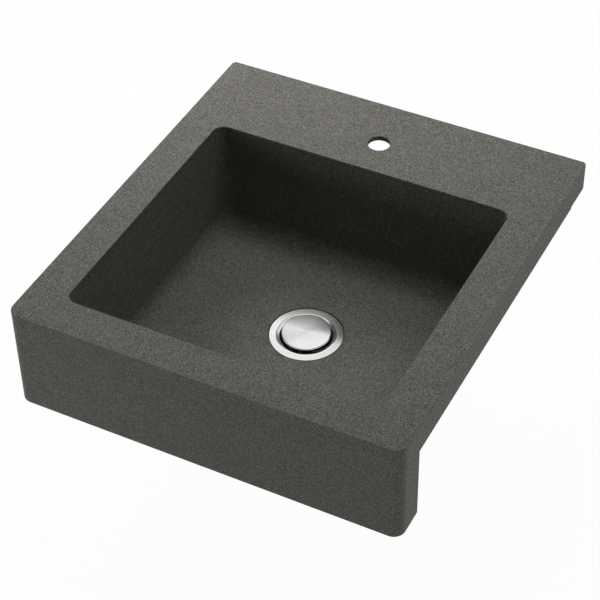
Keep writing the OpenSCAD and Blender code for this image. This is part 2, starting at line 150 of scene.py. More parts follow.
def set_modifier(piece: Piece, kind: str, **settings: object) -> None:
    """Adds a modifier to a piece and applies it.

    Args:
        piece: the object.
        kind: the modifier's type.
        settings: its properties.
    """
    show_only(piece)
    modifier = piece.modifiers.new(kind.lower(), kind)
    for key, value in settings.items():
        setattr(modifier, key, value)
    bpy.ops.object.modifier_apply(modifier=modifier.name)


def merge(piece: Piece, how: Merge, *others: Piece) -> None:
    """Adds other closed meshes to a piece or cuts them from it, and removes them.

    Args:
        piece: the mesh that stays.
        how: the way they meet.
        others: the meshes that go.
    """
    for other in others:
        set_modifier(piece, "BOOLEAN", operation=how.value, solver="EXACT", object=other)
        bpy.data.objects.remove(other)


def face_out(piece: Piece) -> None:
    """Merges doubled corners and turns all faces outwards."""
    with editing(piece, "SELECT"):
        bpy.ops.mesh.remove_doubles(threshold=NEAR / 4)
        bpy.ops.mesh.normals_make_consistent(inside=False)


@dataclass(frozen=True)
class Loop:
    """An upright form's outline at one height: a rectangle with rounded corners, in millimetres."""

    z: float
    half_w: float
    half_d: float
    front_r: float
    back_r: float
    y: float = 0.0

    def grown(self, by: float, z: float) -> "Loop":
        """The same outline, larger all round, at another height."""
        return Loop(
            z, self.half_w + by, self.half_d + by, self.front_r + by, self.back_r + by, self.y
        )

    def towards(self, other: "Loop", share: float) -> "Loop":
        """An outline between this one and another."""
        return Loop(*(a + (b - a) * share for a, b in zip(astuple(self), astuple(other))))

    def draw(self, piece: Piece, steps: int) -> None:
        """Adds the outline to a piece that is in edit mode.

        Args:
            piece: the object.
            steps: the edges of each rounded corner.
        """
        middle = Vector((0, self.y, self.z)) * MM
        bpy.ops.mesh.select_all(action="DESELECT")
        bpy.ops.mesh.primitive_plane_add(size=2 * self.half_w * MM, location=middle)
        bpy.ops.transform.resize(
            value=(1, self.half_d / self.half_w, 1), center_override=middle
        )
        for side, radius in ((-1, self.front_r), (1, self.back_r)):
            edge = (self.y + side * self.half_d) * MM
            pick(
                piece, Part.VERT,
                lambda at: abs(at.z - middle.z) < NEAR and abs(at.y - edge) < NEAR
                and abs(abs(at.x) - self.half_w * MM) < NEAR,
            )
            bpy.ops.mesh.bevel(
                offset=radius * MM, segments=steps, profile=0.5, affect="VERTICES",
                clamp_overlap=True,
            )
        pick(piece, Part.FACE, lambda at: abs(at.z - middle.z) < NEAR)
        bpy.ops.mesh.delete(type="ONLY_FACE")


def lofted(name: str, loops: Sequence[Loop], steps: int = 12) -> Piece:
    """Makes a closed form through outlines that lie over one another.

    Args:
        name: the new object's name.
        loops: the outlines, each at its own height, from one end to the other.
        steps: the edges of each rounded corner.

    Returns:
        The object.
    """
    piece = start(name)
    with editing(piece):
        for loop in loops:
            loop.draw(piece, steps)
        for low, high in zip(loops, loops[1:]):
            pick(
                piece, Part.EDGE,
                lambda at: min(abs(at.z - low.z * MM), abs(at.z - high.z * MM)) < NEAR / 4,
            )
            bpy.ops.mesh.bridge_edge_loops()
        for end in (loops[0], loops[-1]):
            pick(piece, Part.VERT, lambda at: abs(at.z - end.z * MM) < NEAR / 4)
            bpy.ops.mesh.edge_face_add()
    face_out(piece)
    return piece


def eased(corners: Sequence[tuple[float, ...]], steps: int = 4) -> Outline:
    """Rounds the corners of a closed outline.

    Args:
        corners: each (x, z) or (x, z, radius of the rounding).
        steps: the edges of each rounded corner.

    Returns:
        The outline's points.
    """
    points: Outline = []
    for i, corner in enumerate(corners):
        at = Vector(corner[:2])
        radius = corner[2] if len(corner) > 2 else 0.0
        to_last = Vector(corners[i - 1][:2]) - at
        to_next = Vector(corners[(i + 1) % len(corners)][:2]) - at
        half = to_last.angle(to_next, math.pi) / 2
        if not radius or half > math.radians(88):
            points.append(tuple(at))
            continue
        reach = min(radius / math.tan(half), 0.49 * to_last.length, 0.49 * to_next.length)
        radius = reach * math.tan(half)
        middle = at + (to_last.normalized() + to_next.normalized()).normalized() * (
            radius / math.sin(half)
        )
        first = at + to_last.normalized() * reach - middle
        last = at + to_next.normalized() * reach - middle
        for n in range(steps + 1):
            points.append(tuple(middle + first.slerp(last, n / steps, first) * radius))
    return points


def draw_outline(piece: Piece, points: Outline, base: Vector) -> None:
    """Draws a closed outline in the plane y = base.y of a piece that is in edit mode.

    An outline that starts and ends on the axis stays open there.

    Args:
        piece: the object.
        points: the outline's (x, z) in millimetres, from the base.
        base: where the outline's zero lies.
    """
    places = [base + Vector((x, 0, z)) * MM for x, z in points]
    bpy.ops.mesh.primitive_plane_add(size=NEAR, location=places[0])
    bpy.ops.mesh.merge(type="CENTER")
    for last, here in zip(places, places[1:]):
        bpy.ops.mesh.extrude_region_move(TRANSFORM_OT_translate={"value": here - last})
    if points[0][0] or points[-1][0]:
        ends = (places[0], places[-1])
        pick(piece, Part.VERT, lambda at: min((at - end).length for end in ends) < NEAR / 8)
        bpy.ops.mesh.edge_face_add()


def turned(
    name: str, corners: Sequence[tuple[float, ...]], steps: int = 96, ease: int = 4,
    base: Vector = DRAIN,
) -> Piece:
    """Turns a closed outline round an upright axis, as on a lathe.

    Args:
        name: the new object's name.
        corners: the outline, each (radius, height) or (radius, height, rounding), in millimetres.
        steps: the faces round the axis.
        ease: the edges of each rounded corner.
        base: a point of the axis, at the outline's zero height.

    Returns:
        The object.
    """
    piece = start(name)
    with editing(piece):
        draw_outline(piece, eased(corners, ease), base)
        bpy.ops.mesh.select_all(action="SELECT")
        bpy.ops.mesh.spin(
            steps=steps, angle=math.tau, center=base, axis=UP, use_auto_merge=True
        )
    face_out(piece)
    return piece


def block(name: str, low: Place, high: Place, ease: float = 0.0) -> Piece:
    """Makes a block between two corners, in millimetres, with rounded edges.

    Args:
        name: the new object's name.
        low: its lowest corner.
        high: its highest corner.
        ease: the radius of its edges.

    Returns:
        The object.
    """
    middle = (Vector(low) + Vector(high)) / 2 * MM
    piece = start(name)
    with editing(piece):
        width, depth, height = Vector(high) - Vector(low)
        bpy.ops.mesh.primitive_cube_add(size=width * MM, location=middle)
        bpy.ops.transform.resize(
            value=(1, depth / width, height / width), center_override=middle
        )
        if ease:
            bpy.ops.mesh.bevel(offset=ease * MM, segments=3, affect="EDGES")
    return piece


def repeated(piece: Piece, count: int, centre: Vector = DRAIN) -> list[Piece]:
    """Copies a piece round an upright axis, each copy with its own mesh.

    Args:
        piece: the first of the pieces.
        count: how many there are in the end.
        centre: a point of the axis.

    Returns:
        All the pieces, the first one among them.
    """
    pieces = [piece]
    for n in range(1, count):
        show_only(piece)
        bpy.ops.object.duplicate(linked=False)
        copy = bpy.context.object
        with editing(copy, "SELECT"):
            bpy.ops.transform.rotate(
                value=-math.tau * n / count, orient_axis="Z", center_override=centre
            )
        pieces.append(copy)
    return pieces


def quarter(radius: float, steps: int) -> Iterator[tuple[float, float]]:
    """Goes round a quarter circle.

    Args:
        radius: its radius.
        steps: its edges.

    Yields:
        How far each point lies under the round's top and in from its side.
    """
    for n in range(steps + 1):
        turn = math.radians(90 * n / steps)
        yield radius * (1 - math.sin(turn)), radius * (1 - math.cos(turn))


def upright(y: float) -> Vector:
    """The foot of an upright axis on the sink's middle line."""
    return Vector((0, y, 0)) * MM


def wind(piece: Piece, turns: float, rise: float, steps: int, sides: int) -> None:
    """Winds the outline in a piece into a closed coil round the drain's axis.

    Args:
        piece: the object, with its outline drawn for an axis through the origin.
        turns: how often it goes round.
        rise: how far it climbs, in millimetres.
        steps: the faces of each turn.
        sides: the edges of the outline.
    """
    count = int(steps * turns)
    set_modifier(
        piece, "SCREW", axis="Z", angle=math.tau * turns, screw_offset=rise * MM,
        iterations=1, steps=count, render_steps=count,
    )
    with editing(piece, "SELECT"):
        bpy.ops.mesh.fill_holes(sides=sides)
        bpy.ops.mesh.select_all(action="SELECT")
        bpy.ops.transform.translate(value=DRAIN)
    face_out(piece)


def threaded(
    name: str, radius: float, depth: float, pitch: float, low: float, high: float,
    steps: int = 72,
) -> Piece:
    """Makes the ridge of a screw thread as a closed mesh, to be added to its core.

    Args:
        name: the new object's name.
        radius: the thread's outer radius, in millimetres.
        depth: its depth.
        pitch: its pitch.
        low: the height at which it starts, from the drain's ring.
        high: the height at which it ends.
        steps: the faces of each turn.

    Returns:
        The object.
    """
    turns = (high - low) / pitch - 1
    root = radius - depth
    core = root - 0.4
    flank = 0.36 * pitch
    crest = (pitch / 2 - flank) / 2
    foot = flank + crest
    ridge = [
        (core, -foot), (root, -foot), (radius, -crest), (radius, crest), (root, foot), (core, foot)
    ]
    piece = start(name)
    with editing(piece):
        draw_outline(piece, ridge, Vector((0, 0, low + pitch / 2)) * MM)
    wind(piece, turns, turns * pitch, steps, len(ridge))
    return piece


class Bench:
    """A material, world or group that is being put together from nodes."""

    def __init__(self, tree: bpy.types.NodeTree) -> None:
        """Keeps the tree that the nodes go into."""
        self.tree = tree

    def add(self, kind: str, links: dict | None = None, **settings: object) -> bpy.types.Node:
        """Adds a node.

        Args:
            kind: its type, without the leading words.
            links: a value or another node's output for each of its inputs.
            settings: its properties.

        Returns:
            The node.
        """
        node = self.tree.nodes.new("ShaderNode" + kind)
        for key, value in settings.items():
            setattr(node, key, value)
        for key, value in (links or {}).items():
            if isinstance(value, bpy.types.NodeSocket):
                self.tree.links.new(value, node.inputs[key])
            else:
                node.inputs[key].default_value = value
        return node

    def math(self, how: str, a: object, b: object) -> object:
        """The output of a Math node."""
        return self.add("Math", {0: a, 1: b}, operation=how).outputs[0]

    def span(self, value: object, low: float, high: float, to_low: float, to_high: float) -> object:
        """The output of a Map Range node."""
        return self.add("MapRange", {0: value, 1: low, 2: high, 3: to_low, 4: to_high}).outputs[0]

    def around(self, noise: object, middle: float, reach: float) -> object:
        """A value that a noise moves round its middle."""
        return self.span(noise, *NOISE, middle - reach, middle + reach)

    def tint(self, share: object, a: object, b: object) -> object:
        """The colour output of a Mix node."""
        return self.add(
            "Mix", {0: share, 6: a, 7: b}, data_type="RGBA", clamp_factor=True
        ).outputs[2]

    def scaled(self, colour: Place, by: object) -> object:
        """A colour made lighter or darker by a value."""
        return self.add("VectorMath", {0: colour, "Scale": by}, operation="SCALE").outputs[0]

    def relief(self, height: object, depth_mm: float) -> object:
        """The normal of a fine relief."""
        return self.add(
            "Bump", {"Strength": 0.3, "Distance": depth_mm * MM, "Height": height}
        ).outputs[0]

    def here(self) -> object:
        """The place on the piece."""
        return self.add("TexCoord").outputs["Object"]

    def noise(self, at: object, scale: object, detail: float, rough: object = 0.5) -> object:
        """The value of a Noise node."""
        links = {"Vector": at, "Scale": scale, "Detail": detail, "Roughness": rough}
        return self.add("TexNoise", links).outputs["Fac"]

    def round_axis(self, foot: Vector) -> tuple[object, object]:
        """Measures the place on the piece from an upright axis.

        Args:
            foot: where the axis starts.

        Returns:
            The distance from the axis and the height over its foot.
        """
        off = self.add("VectorMath", {0: self.here(), 1: foot}, operation="SUBTRACT").outputs[0]
        parts = self.add("SeparateXYZ", {0: off}).outputs
        flat = self.add("CombineXYZ", {0: parts[0], 1: parts[1]}).outputs[0]
        radius = self.add("VectorMath", {0: flat}, operation="LENGTH").outputs["Value"]
        return radius, parts[2]

    def seen(self) -> object:
        """One for a ray from the camera, a reflection or through glass, and zero for light."""
        rays = self.add("LightPath").outputs
        seen = self.math("MAXIMUM", rays["Is Camera Ray"], rays["Is Glossy Ray"])
        return self.math("MAXIMUM", seen, rays["Is Transmission Ray"])

    def group(self, name: str, **values: float) -> dict[str, object]:
        """The outputs of a group that is placed with its own values."""
        return self.add("Group", values, node_tree=bpy.data.node_groups[name]).outputs

    def put_out(self, **values: object) -> None:
        """Ends a group.

        Args:
            values: what comes out, by name.
        """
        for key in values:
            self.tree.interface.new_socket(key, in_out="OUTPUT", socket_type="NodeSocketFloat")
        result = self.tree.nodes.new("NodeGroupOutput")
        for key, value in values.items():
            self.tree.links.new(value, result.inputs[key])

    def principled(self, **more: object) -> None:
        """Ends a material with its Principled shader; a name's spaces are underscores here."""
        links = {key.replace("_", " "): value for key, value in more.items()}
        self.add("OutputMaterial", {"Surface": self.add("BsdfPrincipled", links).outputs[0]})


def bench_for(owner: bpy.types.Material | bpy.types.World) -> Bench:
    """Gives a material or world an empty bench."""
    owner.use_nodes = True
    owner.node_tree.nodes.clear()
    return Bench(owner.node_tree)


def shader_group(name: str, **inputs: float) -> tuple[Bench, dict[str, object]]:
    """Starts a group of nodes with named values going in.

    Args:
        name: the group's name.
        inputs: each input's usual value, by name.

    Returns:
        The group's bench and what goes in, by name.
    """
    tree = bpy.data.node_groups.new(name, "ShaderNodeTree")
    for key, value in inputs.items():
        socket = tree.interface.new_socket(key, in_out="INPUT", socket_type="NodeSocketFloat")
        socket.default_value = value
    return Bench(tree), tree.nodes.new("NodeGroupInput").outputs


def grain_group() -> None:
    """Builds the group for a fine, even grain: Size and Soften in, Fine and Cloud out."""
    bench, given = shader_group("fine_grain", Size=1.0, Soften=0.5)
    at, scale = bench.here(), bench.math("DIVIDE", 1 / MM, given["Size"])
    bench.put_out(
        Fine=bench.noise(at, scale, 3.0, given["Soften"]),
        Cloud=bench.noise(at, bench.math("DIVIDE", scale, 24.0), 2.0),
    )


def rings_group() -> None:
    """Builds the group for a lathe's rings round the drain: Width in, Rings and Streaks out."""
    bench, given = shader_group("lathe_rings", Width=0.3)
    radius, height = bench.round_axis(Vector((DRAIN.x, DRAIN.y, 0)))
    along = bench.add("CombineXYZ", {0: radius, 1: height}).outputs[0]
    scale = bench.math("DIVIDE", 1 / MM, given["Width"])
    bench.put_out(
        Rings=bench.noise(along, scale, 2.0, 0.7),
        Streaks=bench.noise(along, bench.math("DIVIDE", scale, 6.0), 1.0),
    )


def speckle_group() -> None:
    """Builds the group for a stone's speckles: Size in, Grey, Fleck, Cloud and Pits out."""
    bench, given = shader_group("stone_speckle", Size=1.0)
    at, scale = bench.here(), bench.math("DIVIDE", 1 / MM, given["Size"])

    def noise(share: float, detail: float) -> object:
        """Noise at a share of the group's scale."""
        return bench.noise(at, bench.math("MULTIPLY", scale, share), detail, 0.6)

    def grains(share: float) -> object:
        """A grey of its own for each grain at a share of the group's scale."""
        size = bench.math("MULTIPLY", scale, share)
        cells = bench.add("TexVoronoi", {"Vector": at, "Scale": size}).outputs["Color"]
        return bench.add("SeparateColor", {0: cells}).outputs[0]

    def joined(more: object, less: object) -> object:
        """Three fifths of one value and two fifths of another."""
        return bench.math(
            "ADD", bench.math("MULTIPLY", more, 0.6), bench.math("MULTIPLY", less, 0.4)
        )

    grey = joined(grains(0.62), grains(1.25))
    bench.put_out(
        Grey=grey, Fleck=bench.span(grains(0.8), 0.955, 0.985, 0.0, 1.0),
        Cloud=joined(noise(0.009, 4.0), noise(0.04, 3.0)),
        Pits=bench.math("ADD", noise(1.0, 2.0), bench.math("MULTIPLY", grey, 0.25)),
    )


@dataclass(frozen=True)
class Stone:
    """A matt stone composite with fine speckles and faint clouds."""

    name: str = "stone_composite"
    base: Place = (0.150, 0.146, 0.131)
    fleck: Place = (0.30, 0.295, 0.275)
    spread: float = 2.8
    darkest: float = 0.293
    lightest: float = 0.707
    clouding: float = 0.10
    grain_mm: float = 0.5
    roughness: float = 0.66
    gloss: float = 0.22

    def material(self) -> bpy.types.Material:
        """Builds the material."""
        material = bpy.data.materials.new(self.name)
        bench = bench_for(material)
        out = bench.group("stone_speckle", Size=self.grain_mm)
        grey = bench.span(
            bench.math("POWER", out["Grey"], 2.0), 0.0, 1.0,
            1 - self.darkest * self.spread, 1 + self.lightest * self.spread,
        )
        cloud = bench.around(out["Cloud"], 1, self.clouding)
        colour = bench.scaled(self.base, bench.math("MULTIPLY", grey, cloud))
        bench.principled(
            Base_Color=bench.tint(
                bench.math("MULTIPLY", out["Fleck"], 0.6), colour, (*self.fleck, 1)
            ),
            Roughness=bench.around(out["Cloud"], self.roughness, 0.06),
            Normal=bench.relief(out["Pits"], 0.15), Specular_IOR_Level=self.gloss,
        )
        return material


@dataclass(frozen=True)
class Metal:
    """A bare metal, brushed in rings or plain."""

    name: str
    colour: Place
    roughness: float
    rings_mm: float = 0.0
    brushing: float = 0.0
    relief: float = 0.0
    # painted shade: below this height, and inside the radius under it, a cup's inside darkens
    # nearly to black
    painted_shade_below: float | None = None
    painted_shade_within: float = 40.0
    dull_roughness: float = 0.55

    def painted_shade_inside(self, bench: Bench, colour: object, rough: object) -> tuple[object, object]:
        """Paints shade into the inside of a cup, darkening it nearly to black, and roughens it as
        unpolished metal.

        Args:
            bench: the material's bench.
            colour: the polished colour.
            rough: the polished roughness.

        Returns:
            The colour with the painted shade of the cup's inside in it, and the roughness with the
            unpolished inside in it.
        """
        radius, height = bench.round_axis(DRAIN)
        low = bench.span(height, self.painted_shade_below * MM, (self.painted_shade_below - 3) * MM, 0.0, 1.0)
        inside = bench.span(
            radius, (self.painted_shade_within + 0.2) * MM, self.painted_shade_within * MM, 0.0, 1.0
        )
        # painted shade: this mask tints the cup's inside nearly to black and roughens it
        share = bench.math("MULTIPLY", low, inside)
        return (
            bench.tint(share, colour, (0.02, 0.02, 0.02, 1)),
            bench.math("MAXIMUM", rough, bench.math("MULTIPLY", share, self.dull_roughness)),
        )

    def material(self) -> bpy.types.Material:
        """Builds the material."""
        material = bpy.data.materials.new(self.name)
        bench = bench_for(material)
        if self.rings_mm:
            out = bench.group("lathe_rings", Width=self.rings_mm)
            mask, slow = out["Rings"], out["Streaks"]
        else:
            out = bench.group("fine_grain", Size=1.0)
            mask, slow = out["Fine"], out["Cloud"]
        colour = bench.scaled(self.colour, bench.around(slow, 1, 0.02))
        rough = bench.span(mask, *NOISE, self.roughness * 0.95, self.roughness * 1.05)
        # painted shade in the cup's inside, with rougher unpolished metal there
        if self.painted_shade_below is not None:
            colour, rough = self.painted_shade_inside(bench, colour, rough)
        more = {}
        if self.relief:
            more["Normal"] = bench.relief(mask, self.relief)
        if self.brushing:
            more["Tangent"] = bench.add("Tangent", direction_type="RADIAL", axis="Z").outputs[0]
            more |= {"Anisotropic": self.brushing, "Anisotropic_Rotation": 0.25}
        bench.principled(Metallic=1.0, Base_Color=colour, Roughness=rough, **more)
        return material


@dataclass(frozen=True)
class Moulded:
    """A rubber, plastic or fibre with a fine grain."""

    name: str
    colour: Place
    roughness: float
    grain_mm: float = 0.5
    contrast: float = 0.06
    relief: float = 0.03

    def material(self) -> bpy.types.Material:
        """Builds the material."""
        material = bpy.data.materials.new(self.name)
        bench = bench_for(material)
        out = bench.group("fine_grain", Size=self.grain_mm)
        bench.principled(
            Base_Color=bench.scaled(self.colour, bench.around(out["Cloud"], 1, self.contrast)),
            Roughness=bench.around(out["Fine"], self.roughness, 0.05),
            Normal=bench.relief(out["Fine"], self.relief),
        )
        return material


class Finishes:
    """All the finishes of the sink, each built once, by the record's material slot."""

    def __init__(self) -> None:
        """Builds the groups and materials."""
        grain_group()
        rings_group()
        speckle_group()
        lathe = {"rings_mm": 0.5, "brushing": 0.83}
        self.by_slot = {slot: finish.material() for slot, finish in {
            "stone": Stone(),
            # the cup's inside from 4 mm under its ring down gets painted shade
            "polished_steel": Metal(
                "polished_steel", (0.92, 0.915, 0.905), 0.15, painted_shade_below=-4, **lathe
            ),
            "turned_steel": Metal("turned_steel", (0.93, 0.925, 0.915), 0.18, **lathe),
            "brushed_steel": Metal("brushed_steel", (0.30, 0.30, 0.30), 0.5, relief=0.01),
            "black_rubber": Moulded("black_rubber", (0.012, 0.012, 0.013), 0.6),
            "fibre": Moulded(
                "fibre_board", (0.42, 0.27, 0.15), 0.8, grain_mm=1.2, contrast=0.2, relief=0.08
            ),
            "cast_zinc": Metal("cast_zinc", (0.52, 0.53, 0.54), 0.48, relief=0.06),
            "white_washer": Moulded("white_washer", (0.75, 0.75, 0.73), 0.5),
            "white_plastic": Moulded("white_plastic", (0.72, 0.72, 0.70), 0.38),
            "acetal": Moulded("acetal", (0.78, 0.76, 0.70), 0.34, grain_mm=0.3),
            "spring_steel": Metal("spring_steel", (0.62, 0.62, 0.63), 0.28),
            "brass": Metal(
                "plated_brass", (0.10, 0.095, 0.09), 0.42, rings_mm=0.3, relief=0.006
            ),
        }.items()}

    def dress(self, piece: Piece, slot: str) -> None:
        """Gives a piece its finish as its only material."""
        piece.data.materials.clear()
        piece.data.materials.append(self.by_slot[slot])

    def place(self, piece: Piece, body: str, slot: str, *nodes: str, edge: float = 40.0) -> None:
        """Smooths and dresses a piece and lets it ride on its body in the stead of CAD nodes.

        Args:
            piece: the object.
            body: the body that it rides on.
            slot: the record's material slot.
            nodes: the CAD nodes that it stands for.
            edge: the least angle of a sharp edge, in degrees.
        """
        show_only(piece)
        bpy.ops.object.shade_smooth_by_angle(angle=math.radians(edge))
        set_modifier(piece, "WEIGHTED_NORMAL", keep_sharp=True, weight=60)
        self.dress(piece, slot)
        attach(piece, body)
        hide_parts(*nodes)
        log.info("%s: %d faces on %s", piece.name, len(piece.data.polygons), body)


@dataclass
class Basin:
    """The moulded deck, apron and bowl, one casting."""

    width: float = 610
    depth: float = 671
    deck_h: float = 48
    skin: float = 8
    edge: float = 10
    apron_h: float = 170
    apron_d: float = 56
    front_r: float = 18
    back_r: float = 7
    arris: float = 0.55
    lower_arris: float = 0.5
    rib_t: float = 7
    rib_x: float = 165
    relief_l: float = 57
    relief_h: float = 2.7
    bowl_w: float = 492
    bowl_d: float = 451
    bowl_y: float = -385.5
    bowl_r: float = 17.5
    bowl_arris: float = 0.9
    draft: float = 5
    floor_r: float = 28
    floor_steps: int = 10
    floor_turn: float = 8.2
    floor_z: float = -141
    floor_fall: float = 3
    wall: float = 9
    drain_y: float = DRAIN_Y
    drain_r: float = 46.5
    recess_r: float = 58.5
    recess_z: float = -144.5
    pad_r: float = 69
    pad_z: float = -156
    tap_y: float = -94
    tap_r: float = 17.5

    def rim(self, z: float, inset: float) -> Loop:
        """The deck's outline at a height, drawn in by a distance."""
        return Loop(
            z, self.width / 2 - inset, self.depth / 2 - inset,
            self.front_r - inset, self.back_r - inset, -self.depth / 2,
        )

    def outer_block(self) -> Piece:
        """Makes the deck and apron as one solid form with rounded upper arrises."""
        low = self.deck_h - self.apron_h
        loops = [self.rim(low, 0)]
        loops += [self.rim(self.deck_h - down, inset) for down, inset in quarter(self.arris, 4)]
        piece = lofted("sink_basin", loops)
        merge(piece, Merge.CUT, block(
            "rear_space", (-400, self.apron_d - self.depth, low - 10), (400, 50, 0)
        ))
        for side in (-1, 1):
            merge(piece, Merge.CUT, block(
                "corner_relief",
                (side * self.width / 2 - self.relief_l, -self.relief_l, -10),
                (side * self.width / 2 + self.relief_l, 50, self.relief_h),
            ))
        return piece

    def ease_lower_edges(self, piece: Piece) -> None:
        """Rounds the outer edges under the deck and apron."""
        low = (self.deck_h - self.apron_h) * MM
        half = self.width / 2 * MM
        end = (self.apron_d - self.depth) * MM

        def outer(at: Vector) -> bool:
            """Is a corner on an outer edge of the underside?"""
            on_outline = (
                abs(at.x) > half - NEAR or at.y > -NEAR
                or at.y < (self.front_r - self.depth) * MM + NEAR
            )
            lowest = abs(at.z - low) < NEAR
            under_deck = at.y > end - NEAR and abs(at.z) < 3 * MM
            return on_outline and (lowest or under_deck) or (
                abs(at.x) > half - NEAR and abs(at.y - end) < NEAR and at.z < NEAR
            )

        with editing(piece):
            pick(piece, Part.EDGE, outer)
            bpy.ops.mesh.bevel(
                offset=self.lower_arris * MM, segments=2, affect="EDGES", clamp_overlap=True
            )

    def hollow(self) -> Piece:
        """Makes the space under the deck's skin."""
        low = self.deck_h - self.apron_h - 10
        corner = self.front_r - self.edge
        half_w, half_d = self.width / 2 - self.edge, self.depth / 2 - self.edge
        under = self.deck_h - self.skin
        return lofted("under_space", [
            Loop(z, half_w - inset, half_d - inset, corner, 2, -self.depth / 2)
            for z, inset in ((low, 0), (under - 3, 0), (under - 0.9, 0.9), (under, 3))
        ], steps=6)

    def bowl_loops(self, grow: float) -> list[Loop]:
        """The outlines of the bowl from its top down to the drain's recess.

        Args:
            grow: how far they stand outside the bowl's inner face.

        Returns:
            The outlines.
        """
        half_w, half_d = self.bowl_w / 2, self.bowl_d / 2
        top = Loop(self.deck_h, half_w, half_d, self.bowl_r, self.bowl_r, self.bowl_y)
        turn_z = self.floor_z + self.floor_fall + self.floor_r
        foot = Loop(
            turn_z, half_w - self.draft, half_d - self.draft, self.floor_r, self.floor_r,
            self.bowl_y,
        )
        loops = [top.grown(grow, self.deck_h), foot.grown(grow, turn_z)]
        loops.insert(1, loops[0].towards(loops[1], 0.5))
        radius = self.floor_r + grow
        for n in range(1, self.floor_steps + 1):
            turn = math.radians(self.floor_turn * n)
            inset = radius * (1 - math.cos(turn))
            corner = max(radius * math.cos(turn), 5)
            loops.append(Loop(
                turn_z - radius * math.sin(turn), half_w - self.draft + grow - inset,
                half_d - self.draft + grow - inset, corner, corner, self.bowl_y,
            ))
        last = loops[-1]
        disc_r = self.recess_r + 1
        disc = Loop(
            self.floor_z - grow, disc_r, disc_r, disc_r * 0.999, disc_r * 0.999, self.drain_y
        )
        loops += [last.towards(disc, share) for share in (0.25, 0.5, 0.75, 1.0)]
        return loops

    def bowl_outside(self) -> Piece:
        """Makes the bowl's outer form with its clamping pad."""
        loops = self.bowl_loops(self.wall)
        under = self.deck_h - self.skin + 1
        loops[0] = loops[0].grown(0, under)
        bowl = lofted("bowl_outside", loops)
        pad = turned("clamp_pad", [
            (self.drain_r - 8, self.floor_z - 2), (self.drain_r - 8, self.pad_z),
            (self.pad_r, self.pad_z, 1.5), (self.pad_r, self.floor_z - 2),
        ], steps=110, base=upright(self.drain_y))
        merge(bowl, Merge.ADD, pad)
        return bowl

    def bowl_inside(self) -> Piece:
        """Makes the bowl's inner space with a rounded arris at the deck."""
        loops = self.bowl_loops(0)
        top = loops.pop(0)
        flare = [
            top.grown(out, self.deck_h - down) for out, down in quarter(self.bowl_arris, 5)
        ]
        flare[0] = flare[0].grown(0, self.deck_h + 0.001)
        above = top.grown(self.bowl_arris, self.deck_h + 5)
        return lofted("bowl_inside", [above, *flare, *loops])

    def ribs(self) -> list[Piece]:
        """Makes the ribs between the deck's edge and the bowl."""
        low, high = self.deck_h / 4, self.deck_h - self.skin + 1
        half_t, back = self.rib_t / 2, self.bowl_y + self.bowl_d / 2
        front = -self.depth + self.edge - 1
        side_in = self.bowl_w / 2 + 1
        side_out = self.width / 2 - self.edge + 1
        made = []
        for side in (-1, 1):
            x = side * self.rib_x
            spans = [
                ((x - half_t, back + 1), (x + half_t, -self.edge + 1)),
                ((x - half_t, front), (x + half_t, front + 50)),
            ]
            xs = sorted((side * side_in, side * side_out))
            for end in (-1, 1):
                y = self.bowl_y + end * self.bowl_d / 4
                spans.append(((xs[0], y - half_t), (xs[1], y + half_t)))
            made += [block("rib", (*near, low), (*far, high), 1.2) for near, far in spans]
        return made

    def holes(self) -> list[Piece]:
        """Makes the drain's recess and hole and the tap hole."""
        drain = turned("drain_hole", [
            (0, self.floor_z + 12), (self.recess_r + 4, self.floor_z + 12),
            (self.recess_r + 4, self.floor_z + 3.4), (self.recess_r, self.floor_z - 0.6),
            (self.recess_r, self.recess_z), (self.drain_r, self.recess_z),
            (self.drain_r, self.pad_z - 5), (0, self.pad_z - 5),
        ], base=upright(self.drain_y))
        top = self.deck_h
        tap = turned("tap_hole", [
            (0, top + 5), (self.tap_r + 1.2, top + 5), (self.tap_r + 1.2, top + 0.001),
            (self.tap_r + 0.4, top - 0.35), (self.tap_r, top - 1.2),
            (self.tap_r, top - self.skin - 5), (0, top - self.skin - 5),
        ], base=upright(self.tap_y))
        return [drain, tap]

    def build(self, finishes: Finishes) -> None:
        """Builds the basin and dresses it."""
        piece = self.outer_block()
        self.ease_lower_edges(piece)
        merge(piece, Merge.CUT, self.hollow())
        merge(piece, Merge.ADD, *self.ribs(), self.bowl_outside())
        merge(piece, Merge.CUT, self.bowl_inside(), *self.holes())
        face_out(piece)
        finishes.place(piece, "sink", "stone", "basin", edge=30)


def washer(
    name: str, outer: float, inner: float, low: float, high: float, ease: float = 0.3
) -> Piece:
    """Turns a flat ring with rounded edges.

    Args:
        name: the new object's name.
        outer: its outer radius, in millimetres.
        inner: its inner radius.
        low: its lower face's height, from the drain's ring.
        high: its upper face's height.
        ease: the radius of its edges.

    Returns:
        The object.
    """
    return turned(name, [
        (outer, low, ease), (outer, high, ease), (inner, high, ease), (inner, low, ease)
    ], ease=3)


